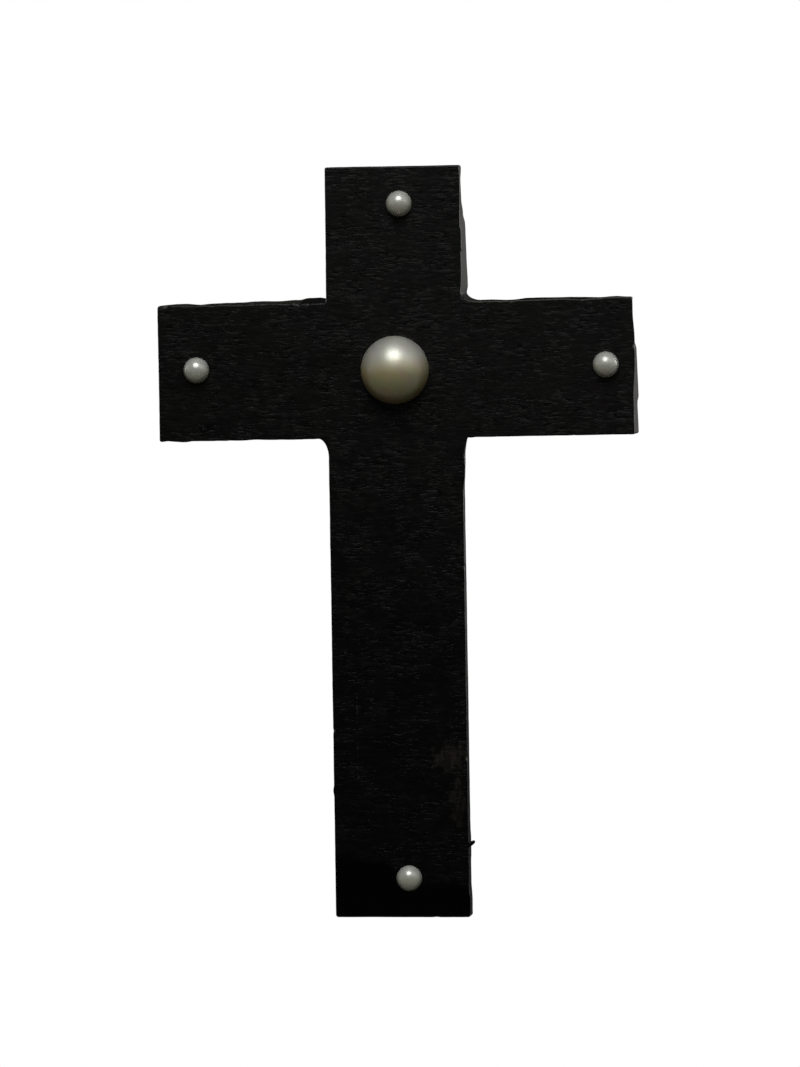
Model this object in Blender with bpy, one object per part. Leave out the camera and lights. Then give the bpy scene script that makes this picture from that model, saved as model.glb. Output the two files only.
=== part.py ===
"""A small black wall cross: one board sawn to a Latin cross, with five half-round pearls glued to its face.

Metres, +Z up. The back of the board lies on the wall at y = 0 and the front faces -Y. The origin is on the
back face, where the middle lines of the shaft and the crossbar meet.
"""

import math

import bmesh
import bpy
from mathutils import Vector

# The board
BOARD_THICKNESS = 0.0127
SHAFT_WIDTH = 0.03175
CROSSBAR_WIDTH = 0.03175
HEAD_REACH = 0.0482
FOOT_REACH = 0.1293
LEFT_REACH = 0.0559
RIGHT_REACH = 0.0564
ARRIS_RADIUS = 0.0004
ARRIS_STEPS = 3

# Inner corners, as the saw and the sandpaper left them
UPPER_LEFT_FILLET = 0.0004
UPPER_RIGHT_FILLET = 0.0016
LOWER_LEFT_FILLET = 0.0030
LOWER_RIGHT_FILLET = 0.0010

# Outer corners
OUTER_CORNER = 0.0006
FOOT_RIGHT_CORNER = 0.0011
CORNER_STEPS = 5
SMALLEST_CORNER = 0.00005

# The blind hole in the back that hangs on a nail
NAIL_HOLE_DIAMETER = 0.0070
NAIL_HOLE_DEPTH = 0.0080
NAIL_HOLE_BELOW_TOP = 0.0140
NAIL_HOLE_SIDES = 32
CUTTER_OVERRUN = 0.0020

# The half-round pearls
GLUE_GAP = 0.0003
PEARL_GIRDLE = 0.00025
CENTRE_PEARL_DIAMETER = 0.0160
CENTRE_PEARL_HEIGHT = 0.0076
CENTRE_PEARL_SIDES = 48
SMALL_PEARL_DIAMETER = 0.0061
SMALL_PEARL_HEIGHT = 0.0029
SMALL_PEARL_SIDES = 28

# Where the maker glued each pearl: its distance from the end of its arm, and how far it strayed from the
# middle line of that arm (to the right on the shaft, upwards on the crossbar)
HEAD_PEARL_FROM_END = 0.0090
HEAD_PEARL_STRAY = 0.0018
FOOT_PEARL_FROM_END = 0.0089
FOOT_PEARL_STRAY = 0.0015
LEFT_PEARL_FROM_END = 0.0091
LEFT_PEARL_STRAY = 0.0008
RIGHT_PEARL_FROM_END = 0.0067
RIGHT_PEARL_STRAY = 0.0009
CENTRE_PEARL_STRAY_X = 0.0002
CENTRE_PEARL_STRAY_Z = 0.0003


def clear_scene():
    for old in list(bpy.data.objects):
        bpy.data.objects.remove(old)


def finish(name, colour, roughness):
    """A plain Principled material."""
    material = bpy.data.materials.new(name)
    material.use_nodes = True
    shader = material.node_tree.nodes["Principled BSDF"]
    shader.inputs["Base Color"].default_value = (*colour, 1.0)
    shader.inputs["Roughness"].default_value = roughness
    shader.inputs["Metallic"].default_value = 0.0
    return material


def add_object(name, mesh, material, parent):
    mesh.shade_smooth()
    mesh.set_sharp_from_angle(angle=math.radians(35))
    if material.name not in mesh.materials:
        mesh.materials.append(material)
    made = bpy.data.objects.new(name, mesh)
    made.parent = parent
    bpy.context.scene.collection.objects.link(made)
    return made


def board_corners():
    """The twelve corners of the cross as (x, z, radius), counter-clockwise as seen from the front."""
    half_shaft = SHAFT_WIDTH / 2
    half_bar = CROSSBAR_WIDTH / 2
    return [
        (half_shaft, HEAD_REACH, OUTER_CORNER),
        (-half_shaft, HEAD_REACH, OUTER_CORNER),
        (-half_shaft, half_bar, UPPER_LEFT_FILLET),
        (-LEFT_REACH, half_bar, OUTER_CORNER),
        (-LEFT_REACH, -half_bar, OUTER_CORNER),
        (-half_shaft, -half_bar, LOWER_LEFT_FILLET),
        (-half_shaft, -FOOT_REACH, OUTER_CORNER),
        (half_shaft, -FOOT_REACH, FOOT_RIGHT_CORNER),
        (half_shaft, -half_bar, LOWER_RIGHT_FILLET),
        (RIGHT_REACH, -half_bar, OUTER_CORNER),
        (RIGHT_REACH, half_bar, OUTER_CORNER),
        (half_shaft, half_bar, UPPER_RIGHT_FILLET),
    ]


def corner_arc(before, corner, after, radius, inset):
    """Points of one rounded corner of the outline, moved into the board by inset. All corners are square."""
    into = (corner - before).normalized()
    out = (after - corner).normalized()
    turn = into.cross(out)
    inward_in = Vector((-into.y, into.x))
    inward_out = Vector((-out.y, out.x))
    swept = max(radius - turn * inset, SMALLEST_CORNER)
    centre = corner + (inward_in + inward_out) * (inset + turn * swept)
    points = []
    for step in range(CORNER_STEPS + 1):
        angle = math.radians(90) * step / CORNER_STEPS
        spoke = -inward_in * math.cos(angle) - inward_out * math.sin(angle)
        points.append(centre + spoke * (turn * swept))
    return points


def board_outline(inset):
    corners = board_corners()
    places = [Vector((x, z)) for x, z, _ in corners]
    outline = []
    for n, (_, _, radius) in enumerate(corners):
        after = places[(n + 1) % len(places)]
        outline += corner_arc(places[n - 1], places[n], after, radius, inset)
    return outline


def board_sections():
    """(y, inset) of each outline from the back face to the front face, with both arrises rounded."""
    quarter = [math.radians(90) * n / ARRIS_STEPS for n in range(ARRIS_STEPS + 1)]
    back = [(ARRIS_RADIUS * (math.cos(a) - 1), ARRIS_RADIUS * (1 - math.sin(a))) for a in quarter]
    front = [(-BOARD_THICKNESS - y, inset) for y, inset in reversed(back)]
    return back + front


def nail_hole_cutter(parent):
    """A drill of the hole's size, laid along Y and run out past the back face."""
    depth = NAIL_HOLE_DEPTH + CUTTER_OVERRUN
    drill = bmesh.new()
    bmesh.ops.create_cone(
        drill,
        cap_ends=True,
        segments=NAIL_HOLE_SIDES,
        radius1=NAIL_HOLE_DIAMETER / 2,
        radius2=NAIL_HOLE_DIAMETER / 2,
        depth=depth,
    )
    mesh = bpy.data.meshes.new("nail_hole_cutter")
    drill.to_mesh(mesh)
    drill.free()
    cutter = bpy.data.objects.new("nail_hole_cutter", mesh)
    cutter.parent = parent
    cutter.location = (0.0, CUTTER_OVERRUN - depth / 2, HEAD_REACH - NAIL_HOLE_BELOW_TOP)
    cutter.rotation_euler = (math.radians(90), 0.0, 0.0)
    cutter.display_type = "WIRE"
    cutter.hide_render = True
    bpy.context.scene.collection.objects.link(cutter)
    return cutter


def build_board(parent, paint):
    """Joins the outlines from back to front, caps both faces and drills the nail hole."""
    shape = bmesh.new()
    rings = []
    for y, inset in board_sections():
        rings.append([shape.verts.new((p.x, y, p.y)) for p in board_outline(inset)])
    for behind, ahead in zip(rings, rings[1:]):
        for n in range(len(behind)):
            after = (n + 1) % len(behind)
            shape.faces.new((behind[n], behind[after], ahead[after], ahead[n]))
    shape.faces.new(rings[0])
    shape.faces.new(rings[-1])
    bmesh.ops.recalc_face_normals(shape, faces=shape.faces)
    mesh = bpy.data.meshes.new("cross_board")
    shape.to_mesh(mesh)
    shape.free()
    board = add_object("cross_board", mesh, paint, parent)
    drilled = board.modifiers.new("nail_hole", "BOOLEAN")
    drilled.operation = "DIFFERENCE"
    drilled.solver = "EXACT"
    drilled.object = nail_hole_cutter(parent)
    return board


def half_pearl_mesh(name, diameter, height, sides):
    """A flat-backed dome turned about Z: a short girdle, then a quarter ellipse up to the crown."""
    shape = bmesh.new()
    radius = diameter / 2
    levels = sides // 4
    profile = [(radius, 0.0)]
    for level in range(levels):
        angle = math.radians(90) * level / levels
        profile.append((radius * math.cos(angle), PEARL_GIRDLE + (height - PEARL_GIRDLE) * math.sin(angle)))
    rings = []
    for out, up in profile:
        ring = []
        for n in range(sides):
            angle = 2 * math.pi * n / sides
            ring.append(shape.verts.new((out * math.cos(angle), out * math.sin(angle), up)))
        rings.append(ring)
    crown = shape.verts.new((0.0, 0.0, height))
    for below, above in zip(rings, rings[1:]):
        for n in range(sides):
            after = (n + 1) % sides
            shape.faces.new((below[n], below[after], above[after], above[n]))
    for n in range(sides):
        shape.faces.new((rings[-1][n], rings[-1][(n + 1) % sides], crown))
    shape.faces.new(list(reversed(rings[0])))
    mesh = bpy.data.meshes.new(name)
    shape.to_mesh(mesh)
    shape.free()
    return mesh


def pearl_places():
    """Node name, x and z of each small pearl."""
    return [
        ("head_pearl", HEAD_PEARL_STRAY, HEAD_REACH - HEAD_PEARL_FROM_END),
        ("left_pearl", LEFT_PEARL_FROM_END - LEFT_REACH, LEFT_PEARL_STRAY),
        ("right_pearl", RIGHT_REACH - RIGHT_PEARL_FROM_END, RIGHT_PEARL_STRAY),
        ("foot_pearl", FOOT_PEARL_STRAY, FOOT_PEARL_FROM_END - FOOT_REACH),
    ]


def build_pearl(name, mesh, x, z, nacre, parent):
    """Stands a pearl on the front face, crown towards the viewer."""
    pearl = add_object(name, mesh, nacre, parent)
    pearl.location = (x, -(BOARD_THICKNESS + GLUE_GAP), z)
    pearl.rotation_euler = (math.radians(90), 0.0, 0.0)
    return pearl


def build_cross():
    clear_scene()
    cross = bpy.data.objects.new("wall_cross", None)
    bpy.context.scene.collection.objects.link(cross)
    build_board(cross, finish("black_paint", (0.013, 0.013, 0.013), 0.6))
    nacre = finish("pearl", (0.74, 0.72, 0.62), 0.25)
    large = half_pearl_mesh("centre_pearl", CENTRE_PEARL_DIAMETER, CENTRE_PEARL_HEIGHT, CENTRE_PEARL_SIDES)
    build_pearl("centre_pearl", large, CENTRE_PEARL_STRAY_X, CENTRE_PEARL_STRAY_Z, nacre, cross)
    small = half_pearl_mesh("small_pearl", SMALL_PEARL_DIAMETER, SMALL_PEARL_HEIGHT, SMALL_PEARL_SIDES)
    for name, x, z in pearl_places():
        build_pearl(name, small, x, z, nacre, cross)


build_cross()
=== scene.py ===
import bpy
import math
import numpy as np
from mathutils import Matrix, Vector


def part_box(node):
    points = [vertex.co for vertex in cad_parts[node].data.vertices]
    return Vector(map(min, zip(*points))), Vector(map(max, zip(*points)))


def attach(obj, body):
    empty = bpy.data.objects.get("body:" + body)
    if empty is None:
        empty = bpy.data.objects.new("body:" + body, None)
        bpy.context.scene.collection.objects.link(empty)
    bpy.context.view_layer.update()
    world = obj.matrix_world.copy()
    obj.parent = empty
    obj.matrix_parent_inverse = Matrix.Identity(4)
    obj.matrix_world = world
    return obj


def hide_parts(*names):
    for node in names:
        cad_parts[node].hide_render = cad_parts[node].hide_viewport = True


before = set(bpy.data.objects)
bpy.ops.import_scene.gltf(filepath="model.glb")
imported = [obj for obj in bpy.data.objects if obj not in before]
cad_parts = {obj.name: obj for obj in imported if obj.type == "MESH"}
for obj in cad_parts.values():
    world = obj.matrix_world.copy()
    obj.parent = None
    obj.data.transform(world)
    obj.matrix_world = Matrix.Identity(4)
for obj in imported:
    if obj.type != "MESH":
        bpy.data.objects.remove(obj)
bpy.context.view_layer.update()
mm = 0.001  # shapes are worked out in millimetres and put into the meshes in metres
print("frame loaded:", ", ".join(sorted(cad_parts)))


# Shapes and noise

def smoothStep(t):  # 3t² - 2t³, held at 0 below 0 and at 1 above 1
    t = np.clip(t, 0.0, 1.0)
    return t * t * (3.0 - 2.0 * t)


def rise(value, start, width):  # 0 up to start, 1 from start + width on
    return smoothStep((value - start) / width)


def smoothNoise(a, b, lengthA, lengthB, seed, table=512):
    # random heights from -1 to 1 on a grid lengthA by lengthB apart, joined by smooth steps
    heights = np.random.default_rng(seed).uniform(-1.0, 1.0, (table, table))
    a, b = np.broadcast_arrays(a / lengthA, b / lengthB)
    cellA, cellB = np.floor(a).astype(int), np.floor(b).astype(int)
    shareA, shareB = smoothStep(a - cellA), smoothStep(b - cellB)
    low = heights[cellA % table, cellB % table] * (1 - shareA)
    low = low + heights[(cellA + 1) % table, cellB % table] * shareA
    high = heights[cellA % table, (cellB + 1) % table] * (1 - shareA)
    high = high + heights[(cellA + 1) % table, (cellB + 1) % table] * shareA
    return low * (1 - shareB) + high * shareB


# Layers of noise: the height, mostly in mm, the size of the cells each way in mm, and the seed
layers = {
    # along an edge, and behind the face
    "edgeWave": [(0.65, 7.0, 11.0, 21), (0.35, 1.5, 5.0, 22)],
    "sawFine": [(0.60, 0.9, 9.0, 23)],
    "sawCoarse": [(0.40, 2.6, 2.2, 24)],
    "rubBreaks": [(0.40, 2.3, 1.0, 33), (0.35, 0.7, 1.0, 34)],
    # along x and z
    "wornRim": [(0.40, 1.5, 2.2, 31), (0.25, 0.6, 0.8, 36)],
    "footLine": [(1.60, 4.0, 1.0, 32)],
    "footRim": [(0.90, 1.3, 2.0, 35)],
    "lineWander": [(0.90, 17.0, 10.0, 41)],
    "ridges": [(0.016, 9.0, 0.95, 42), (0.010, 4.0, 0.60, 43)],
    "pores": [(1.00, 3.4, 0.62, 44)],
    "scuffs": [(0.020, 0.8, 6.0, 45)],
    "swell": [(0.050, 36.0, 22.0, 46)],
    "backGrain": [(0.020, 12.0, 2.0, 51), (0.050, 30.0, 26.0, 52)],
    # around the hole, in radians, and down it
    "drillMarks": [(0.040, 0.25, 0.9, 61)],
    # along x + z, and y
    "chipGrain": [(0.50, 0.45, 0.45, 71)],
}


def noise(name, a, b):
    # the sum of the layers of this name
    return sum(height * smoothNoise(a, b, lengthA, lengthB, seed)
               for height, lengthA, lengthB, seed in layers[name])


def crowdedLine(knots, steps, crowding):
    # between two knots t runs from 0 to 1 as t - crowding sin(2 pi t) / (2 pi), so steps shorten at the knots
    parts = []
    for start, end, count in zip(knots, knots[1:], steps):
        t = np.arange(count) / count
        parts.append(start + (end - start) * (t - crowding * np.sin(2 * math.pi * t) / (2 * math.pi)))
    return np.concatenate(parts + [[knots[-1]]])


def makePiece(name, points, faceSets, attributes=None):
    # points in mm; each set holds faces with the same number of corners, one face a row
    mesh = bpy.data.meshes.new(name)
    sizes = np.concatenate([np.full(len(faces), faces.shape[1]) for faces in faceSets])
    loops = np.concatenate([faces.ravel() for faces in faceSets]).astype(np.int32)
    starts = np.concatenate([[0], np.cumsum(sizes)[:-1]]).astype(np.int32)
    mesh.vertices.add(len(points))
    mesh.vertices.foreach_set("co", (points * mm).astype(np.float32).ravel())
    mesh.loops.add(len(loops))
    mesh.loops.foreach_set("vertex_index", loops)
    mesh.polygons.add(len(sizes))
    mesh.polygons.foreach_set("loop_start", starts)
    mesh.update(calc_edges=True)
    for key, values in (attributes or {}).items():
        mesh.attributes.new(key, "FLOAT", "POINT").data.foreach_set("value", values.astype(np.float32))
    mesh.shade_smooth()
    piece = bpy.data.objects.new(name, mesh)
    bpy.context.scene.collection.objects.link(piece)
    print(f"{name}: {len(points)} points, {int((sizes - 2).sum())} triangles")
    return piece


def ringFaces(outer, inner):
    # quads from each ring of point numbers to the next, closed on themselves
    return np.stack([outer, inner, np.roll(inner, -1), np.roll(outer, -1)], axis=-1).reshape(-1, 4)


# The board

boardLow, boardHigh = (np.array(corner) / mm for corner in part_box("cross_board"))
thickness = boardHigh[1] - boardLow[1]

board = {
    "halfWidth": 15.875,          # mm, half the shaft and half the crossbar
    "arris": 0.4,                 # mm, rounding between a face and a sawn side
    "arrisRows": 4,
    "sideRows": 9,
    "stepsAcross": (70, 56, 70),  # over the left arm, the shaft and the right arm
    "stepsUp": (400, 112, 114),   # over the shaft, the crossbar and the head
    "crowdAcross": 0.45,
    "crowdUp": 0.25,
    "roundFade": 2.5,             # radii over which a corner's rounding fades into the face
    "leastRound": 0.05,           # mm
    "slack": 0.01,                # mm, a point this far off an edge still belongs to it
    "waveReach": 3.0,             # mm, how far into the face a wavy edge is felt
    "waveTaper": 2.0,             # mm, waves die out towards a corner
    "edgeShift": 211.0,           # mm of noise between one edge and the next, so that no two wave alike
    "sawMarks": 0.014,            # mm, ridges of the saw across a side
    "sawSlant": 0.25,             # how far they slant
    "sawFrom": (0.2, 1.0),        # mm from an arris where they start, and over which they rise
    "footTop": -114.0,            # mm, below this the paint is thick and smooth at the left edge
    "footFall": 7.5,              # mm, how much lower that line is towards the right edge
    "footFallFrom": (-7.0, 10.0),  # mm, where it starts to fall, and over which it does
    "footBlend": 2.5,             # mm
    "footSmooth": 0.8,            # share of the ridges and pores that the thick paint fills
    "poreDepth": 0.035,           # mm
    "poreFrom": (0.35, 0.35),     # noise at which a pore opens, and over which it deepens
}

# Each corner as the saw left it, counter-clockwise as seen from the front, and the edge that starts at it and
# has its name, in mm: the lattice knots the corner stands on, how far its front is off the square outline,
# how far its back leans off the front, the radii of its rounding along x and z, how far the edge waves, and
# how much of the paint is rubbed off the edge's front arris at its start and its end: 1 for nearly all of
# it, 0 for a few spots and less than that for hardly any
corners = {
    "headRight": [(2, 3), (0.17, -0.23), (-0.47, 0.00), (0.6, 0.6), 0.05, (0.10, 0.10)],
    "headLeft": [(1, 3), (0.28, -0.27), (0.00, 0.00), (0.5, 0.5), 0.05, (-0.20, -0.60)],
    "upperLeft": [(1, 2), (0.05, 0.40), (0.00, 0.60), (0.4, 0.4), 0.13, (0.45, 0.34)],
    "leftUpper": [(0, 2), (0.09, 0.17), (0.00, -0.29), (0.6, 0.6), 0.06, (-0.25, -0.20)],
    "leftLower": [(0, 1), (-0.09, -0.25), (0.00, 0.00), (0.6, 0.6), 0.09, (-0.25, -0.25)],
    "lowerLeft": [(1, 1), (0.03, 0.07), (0.00, 0.00), (2.4, 4.6), 0.05, (-0.30, -0.30)],
    "footLeft": [(1, 0), (-0.32, -0.54), (0.00, 0.00), (0.6, 0.6), 0.04, (-0.20, -0.20)],
    "footRight": [(2, 0), (-0.20, -0.55), (-0.30, -1.75), (0.5, 0.5), 0.06, (-0.05, -0.20)],
    "lowerRight": [(2, 1), (0.03, 0.10), (-0.58, 0.00), (1.4, 11.0), 0.06, (-0.20, -0.20)],
    "rightLower": [(3, 1), (-0.15, 0.29), (0.63, -0.55), (0.5, 0.5), 0.06, (-0.10, 0.00)],
    "rightUpper": [(3, 2), (-0.28, 0.70), (-0.27, -0.28), (0.5, 0.5), 0.12, (0.60, 1.00)],
    "upperRight": [(2, 2), (0.07, 0.33), (0.62, -0.20), (3.5, 2.1), 0.06, (0.00, -0.05)],
}
headings = ("knot", "off", "lean", "round", "wave", "rub")
corners = {name: dict(zip(headings, row)) for name, row in corners.items()}

# The amount at which the paint starts to go and over which it goes, and how far in mm this reaches past the
# arris
rubbing = {"from": (0.3, 0.5), "width": 0.08}

# Where an edge stands out or falls in: where along it this starts and ends, the length over which it rises,
# and how far out it goes at the front and at the back, all in mm
bulges = {
    "upperRight": [
        (2.5, 19.5, 2.2, 0.00, 0.38), (4.0, 12.0, 4.0, 0.22, 0.04), (12.1, 17.4, 0.8, 0.30, 0.00),
        (22.5, 30.0, 3.0, 0.10, -0.24),
    ],
    "rightLower": [
        (8.0, 20.5, 1.6, 0.00, 0.34), (13.0, 25.0, 8.0, 0.42, 0.00), (21.6, 31.0, 2.0, 0.00, -0.32),
    ],
    "upperLeft": [
        (1.5, 6.5, 2.5, 0.00, 0.42), (10.5, 14.0, 3.0, 0.00, -0.17), (20.0, 21.5, 3.0, 0.00, -0.12),
        (30.0, 32.5, 3.0, 0.00, -0.20), (34.0, 39.5, 3.0, 0.12, 0.22),
    ],
    "rightUpper": [
        (28.0, 32.5, 4.0, 0.00, -0.14), (3.0, 6.0, 2.5, 0.00, 0.12), (10.0, 27.0, 5.0, 0.00, 0.20),
        (2.2, 7.0, 3.0, 0.15, 0.00),
    ],
    "leftLower": [
        (4.6, 7.0, 1.8, 0.16, 0.10), (1.0, 3.0, 2.0, -0.16, -0.16), (21.5, 24.5, 3.0, -0.10, -0.10),
    ],
    "lowerLeft": [(82.4, 84.0, 1.4, 0.18, 0.10)],
    "footRight": [
        (14.0, 20.0, 3.0, 0.00, 0.12), (103.0, 110.0, 5.0, 0.42, 0.16), (-3.0, 6.0, 4.0, 0.22, 0.22),
    ],
    "lowerRight": [(1.4, 2.4, 2.0, 0.20, 0.20)],
}

# Dust on the left arm's top side, with painted light along it: where it starts and over which it rises, in mm
# along it from the head
dustAndLightTop = {"edge": "upperLeft", "from": (5.4, 1.0), "amount": 0.44}

# Thick dull paint that fills the upper right corner, in mm, and the shares of the radius where it starts to
# fade and over which it does
cornerGum = {"centre": (17.6, 16.8), "radius": 2.5, "fade": (0.45, 0.55)}

# Chips out of the front arris: the edge, how far along it, how wide and how deep, in mm
chips = [
    ("upperRight", 0.7, 0.5, 0.22), ("rightLower", 20.5, 0.6, 0.30), ("upperLeft", 4.5, 0.6, 0.25),
    ("upperLeft", 27.0, 0.5, 0.20), ("rightUpper", 12.0, 0.5, 0.25), ("rightUpper", 31.0, 0.5, 0.20),
    ("lowerLeft", 69.0, 0.5, 0.20), ("footRight", 38.0, 0.5, 0.20), ("footRight", 83.0, 0.5, 0.20),
    ("leftLower", 17.0, 0.5, 0.20), ("footLeft", 24.0, 0.5, 0.20), ("lowerRight", 26.0, 0.5, 0.20),
    ("upperLeft", 38.4, 0.9, 0.30), ("upperLeft", 6.4, 0.5, 0.35), ("rightUpper", 28.5, 0.5, 0.30),
]
chipSlope = 0.8  # how far a chip goes in from the face, as a share of how far it goes in from the side

splinter = {
    "alongShaft": 0.847,  # share of the way from the shaft's top to its foot
    "length": 2.1,        # mm
    "thick": 0.56,        # mm, half its height
    "flat": 0.6,          # its other half width as a share of that
    "flare": 0.9,         # how much thicker its root is
    "flareReach": 0.28,   # share of its length
    "taper": 0.30,
    "hook": 1.0,          # radians that it curls upwards
    "sunk": 0.35,         # mm, its root in the board
    "anchor": 0.8,        # mm behind the face, where its place on the side is taken
    "behind": (0.7, 0.3),  # mm behind the face, at the root and at the tip
    "sides": 10,
    "steps": 16,
}

# Where handling wore the shaft's right edge: a broad patch and a faint tail below it, with x, z, half the
# width and half the height in mm, and how worn it is
wornPatches = [(11.9, -91.0, 5.6, 5.4, 1.0), (13.4, -100.5, 3.0, 11.5, 0.7)]
wornRim = (0.25, 0.85)  # shares of the radius where the wear starts to fade, and over which it does
wornDepth = 2.0         # mm, how far it reaches round onto the side

# The nail hole, in mm; flat is the face kept level round it and over which the grain comes back
nailHole = {
    "below": 14.0, "radius": 3.5, "depth": 8.0, "chamfer": 0.25, "point": 0.6,
    "square": 5.0, "rings": 4, "firstRing": 0.2, "rows": 6, "pointRings": (0.55, 0.15), "flat": (6.5, 4.0),
}


def knotsAt(inset):
    # the lines of the square cross, moved into the board by inset
    half = board["halfWidth"] - inset
    across = np.array([boardLow[0] + inset, -half, half, boardHigh[0] - inset])
    up = np.array([boardLow[2] + inset, -half, half, boardHigh[2] - inset])
    return across, up


def latticeAt(inset):
    across, up = knotsAt(inset)
    return (crowdedLine(across, board["stepsAcross"], board["crowdAcross"]),
            crowdedLine(up, board["stepsUp"], board["crowdUp"]))


def edgeList():
    # every edge: its corner's values, its start and end knots, its direction and its outward normal
    names = list(corners)
    edges = []
    for number, name in enumerate(names):
        start, end = corners[name]["knot"], corners[names[(number + 1) % len(names)]]["knot"]
        run = np.sign(np.array(end) - np.array(start)).astype(float)
        edges.append({**corners[name], "number": number, "name": name, "start": start, "end": end,
                      "run": run, "out": np.array([run[1], -run[0]])})
    return edges


edges = edgeList()


def cornerTable(key):
    table = np.zeros((4, 4, 2))
    for corner in corners.values():
        table[corner["knot"]] = corner[key]
    return table


def drift(x, z, across, up, table):
    # bilinear between the four corners of the block that holds the point
    column = np.clip(np.searchsorted(across, x, side="right") - 1, 0, 2)
    row = np.clip(np.searchsorted(up, z, side="right") - 1, 0, 2)
    s = ((x - across[column]) / (across[column + 1] - across[column]))[..., None]
    t = ((z - up[row]) / (up[row + 1] - up[row]))[..., None]
    low = table[column, row] * (1 - s) + table[column + 1, row] * s
    high = table[column, row + 1] * (1 - s) + table[column + 1, row + 1] * s
    return low * (1 - t) + high * t


def cornerArc(share, sign):
    # share 0 is the corner and 1 the tangent point of a unit arc; gives the moves along and across the edge
    angle = math.pi / 4 * (1 - share)
    return sign * (1 - np.sin(angle) - share), sign * (1 - np.cos(angle))


def rounding(x, z, across, up, inset):
    # bends the lattice onto each corner's arc; the bend fades inside the board
    fade = board["roundFade"]
    move = np.zeros(x.shape + (2,))
    for number, corner in enumerate(corners.values()):
        before, after = edges[number - 1]["out"], edges[number]["out"]
        inner = np.dot(edges[number - 1]["run"], after) < 0
        side = before + after
        radii = np.array(corner["round"]) + (inset if inner else -inset)
        radii = np.maximum(radii, board["leastRound"])
        p = (x - across[corner["knot"][0]]) * side[0] / radii[0]
        q = (z - up[corner["knot"][1]]) * side[1] / radii[1]
        fadeP, fadeQ = 1 - smoothStep(-p / fade), 1 - smoothStep(-q / fade)
        if inner:
            along, sideways = cornerArc(np.clip(np.maximum(p, q), 0, 1), 1)
            dp = np.where(p >= q, along, sideways) * fadeP * fadeQ
            dq = np.where(p >= q, sideways, along) * fadeP * fadeQ
        else:
            topAlong, topSide = cornerArc(np.clip(-p, 0, 1), -1)
            endAlong, endSide = cornerArc(np.clip(-q, 0, 1), -1)
            middle = cornerArc(0.0, -1)[1]
            dp = topAlong * fadeQ + endSide * fadeP - middle * fadeP * fadeQ
            dq = topSide * fadeQ + endAlong * fadeP - middle * fadeP * fadeQ
        move[..., 0] += dp * side[0] * radii[0]
        move[..., 1] += dq * side[1] * radii[1]
    return move


def edgeFrame(edge, x, z, across, up):
    # how far a point lies along an edge and inside it, which points stand before it, and the edge's length
    start = np.array([across[edge["start"][0]], up[edge["start"][1]]])
    end = np.array([across[edge["end"][0]], up[edge["end"][1]]])
    length = abs(end - start).sum()
    along = (x - start[0]) * edge["run"][0] + (z - start[1]) * edge["run"][1]
    inside = (start[0] - x) * edge["out"][0] + (start[1] - z) * edge["out"][1]
    near = (along > -board["slack"]) & (along < length + board["slack"])
    near = near & (inside > -board["slack"]) & (inside < board["waveReach"])
    return along, inside, near, length


def waves(x, z, across, up, depth, marks):
    # slow and quick waves square to each edge that die out at its corners, and the bulges, each half risen
    # where it starts and ends; all of them fade into the face
    move = np.zeros(x.shape + (2,))
    for edge in edges:
        along, inside, near, length = edgeFrame(edge, x, z, across, up)
        taper = smoothStep(along / board["waveTaper"]) * smoothStep((length - along) / board["waveTaper"])
        s = along + board["edgeShift"] * edge["number"]
        wave = noise("edgeWave", s, depth) * edge["wave"]
        cut = noise("sawFine", s + board["sawSlant"] * depth, depth) + noise("sawCoarse", s, depth)
        wave = (wave + marks * cut * board["sawMarks"]) * taper
        for low, high, width, front, back in bulges.get(edge["name"], []):
            height = smoothStep((along - low) / width + 0.5) * smoothStep((high - along) / width + 0.5)
            wave = wave + height * (front + (back - front) * depth / thickness)
        shift = np.where(near, wave * (1 - smoothStep(inside / board["waveReach"])), 0.0)
        move += shift[..., None] * edge["out"]
    return move


def rubShare(x, z, inset):
    # where the arris has lost its paint: the edge's amount plus noise along it, fading inwards
    across, up = knotsAt(inset)
    share = np.zeros(x.shape)
    for edge in edges:
        along, inside, near, length = edgeFrame(edge, x, z, across, up)
        start, end = edge["rub"]
        broken = noise("rubBreaks", along + board["edgeShift"] * edge["number"], 0.0)
        amount = start + (end - start) * np.clip(along / length, 0, 1)
        rubbed = rise(amount + broken, *rubbing["from"]) * np.exp(-inside / rubbing["width"])
        share = np.maximum(share, np.where(near, rubbed, 0.0))
    return share


def dustAndLightShare(x, z, inset):
    # dust and painted light on the top side of the left arm: none near the head, then the same amount out to
    # the arm's end
    edge = edges[list(corners).index(dustAndLightTop["edge"])]
    along, _, near, _ = edgeFrame(edge, x, z, *knotsAt(inset))
    return np.where(near, dustAndLightTop["amount"] * rise(along, *dustAndLightTop["from"]), 0.0)


def sawnPlace(x, z, inset, depth, marks=0.0):
    # a point of the square cross, at this depth behind the face, moved to where the saw left it
    across, up = knotsAt(inset)
    move = drift(x, z, across, up, cornerTable("off"))
    move = move + drift(x, z, across, up, cornerTable("lean")) * (depth / thickness)
    move = move + rounding(x, z, across, up, inset) + waves(x, z, across, up, depth, marks)
    return x + move[..., 0], z + move[..., 1]


def footShare(x, z):
    # 1 on the smooth foot and 0 above it, across a wandering line
    line = board["footTop"] - board["footFall"] * rise(x, *board["footFallFrom"])
    line = line + noise("footLine", x, 0.0) + noise("footRim", x, z)
    return smoothStep((line - z) / board["footBlend"])


def gumShare(x, z):
    # 1 in the middle of the gummed corner, falling to 0 at its radius
    away = np.hypot(x - cornerGum["centre"][0], z - cornerGum["centre"][1]) / cornerGum["radius"]
    return 1 - rise(away, *cornerGum["fade"])


def wornShare(x, z):
    # upright ovals with ragged rims, one over the other
    ragged = noise("wornRim", x, z)
    share = 0.0
    for x0, z0, halfWide, halfHigh, strength in wornPatches:
        away = np.hypot((x - x0) / halfWide, (z - z0) / halfHigh)
        share = np.maximum(share, strength * (1 - rise(away + ragged, *wornRim)))
    return share


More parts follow.
